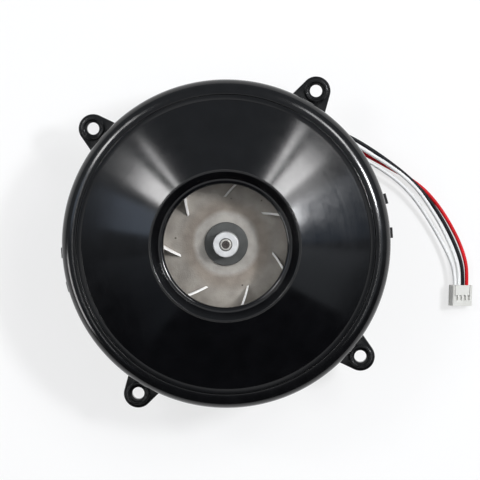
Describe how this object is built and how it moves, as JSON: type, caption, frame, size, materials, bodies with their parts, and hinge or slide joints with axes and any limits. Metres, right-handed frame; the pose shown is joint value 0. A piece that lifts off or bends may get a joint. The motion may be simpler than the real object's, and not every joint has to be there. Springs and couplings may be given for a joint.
{
  "type": "vacuum motor unit",
  "caption": "Round centrifugal vacuum motor: conical black inlet cover, sheet-metal fan, brushless motor in a rear can, ear mounts and a lead with connector.",
  "frame": {"origin": "on the shaft's axis, on the plane of the rear cover's rest face", "axes": "+Z along the shaft towards the inlet lip; +X midway between two mounting ears, through a pair of snap lugs, on the side where the leads leave"},
  "size_m": [0.1795, 0.144, 0.064],
  "materials": {
    "black_gloss": "polished black moulding",
    "black_satin": "satin black moulding",
    "black_rubber": "soft black rubber",
    "cast_aluminium": "turned casting",
    "fan_sheet": "rolled sheet, slightly speckled",
    "collar_aluminium": "fine turned face",
    "black_steel": "blackened steel",
    "ground_steel": "ground steel",
    "zinc_screws": "zinc plated",
    "core_steel": "stacked laminations",
    "magnet_ferrite": "sintered magnet",
    "balance_brass": "plain brass",
    "coil_copper": "enamelled copper winding",
    "insulator_nylon": "natural nylon",
    "board_green": "solder-masked board",
    "chip_black": "moulded chip package",
    "can_aluminium": "drawn can",
    "lead_black": "black lead jacket",
    "lead_red": "red lead jacket",
    "lead_white": "white lead jacket",
    "connector_nylon": "natural nylon"
  },
  "bodies": {
    "housing": {"inlet_cover": "black_gloss", "cover_seal": "black_rubber", "fan_housing": "black_gloss", "motor_carrier": "black_satin", "outlet_ribs": "black_satin", "outlet_rim": "black_satin", "diffuser": "black_satin", "motor_bracket": "cast_aluminium", "bracket_screws": "zinc_screws", "stator_core": "core_steel", "upper_insulator": "insulator_nylon", "lower_insulator": "insulator_nylon", "stator_coils": "coil_copper", "phase_pins": "balance_brass", "rear_cover": "black_satin", "rear_cover_screws": "zinc_screws", "preload_spring": "ground_steel", "driver_board": "board_green", "board_screws": "zinc_screws", "power_transistors": "chip_black", "motor_controller": "chip_black", "current_shunt": "balance_brass", "bulk_capacitor": "can_aluminium", "hall_sensors": "chip_black", "lead_grommet": "black_rubber", "inner_leads": "lead_white", "connector_housing": "connector_nylon", "connector_contacts": "balance_brass", "lead_black": "lead_black", "lead_white_outer": "lead_white", "lead_red": "lead_red", "lead_white_inner": "lead_white", "front_bearing_outer_ring": "ground_steel", "front_bearing_shields": "ground_steel", "rear_bearing_outer_ring": "ground_steel", "rear_bearing_shields": "ground_steel"},
    "rotor": {"shaft": "ground_steel", "rotor_core": "core_steel", "rotor_magnet": "magnet_ferrite", "balance_rings": "balance_brass", "retaining_ring": "black_steel", "fan_spacer": "ground_steel", "backing_washer": "black_steel", "fan_backplate": "fan_sheet", "fan_blades": "fan_sheet", "fan_shroud": "fan_sheet", "clamp_washer": "black_steel", "clamp_collar": "collar_aluminium", "front_bearing_inner_ring": "ground_steel", "rear_bearing_inner_ring": "ground_steel"},
    "front_cage": {"front_bearing_cage": "ground_steel", "front_bearing_balls": "ground_steel"},
    "rear_cage": {"rear_bearing_cage": "ground_steel", "rear_bearing_balls": "ground_steel"}
  },
  "joints": [
    {"name": "rotor_spin", "type": "hinge", "parent": "housing", "child": "rotor", "pos_m": [0, 0, 0.04], "axis": [0, 0, 1], "continuous": true},
    {"name": "front_cage_spin", "type": "hinge", "parent": "housing", "child": "front_cage", "pos_m": [0, 0, 0.0355], "axis": [0, 0, 1], "continuous": true},
    {"name": "rear_cage_spin", "type": "hinge", "parent": "housing", "child": "rear_cage", "pos_m": [0, 0, 0.0057], "axis": [0, 0, 1], "continuous": true}
  ]
}
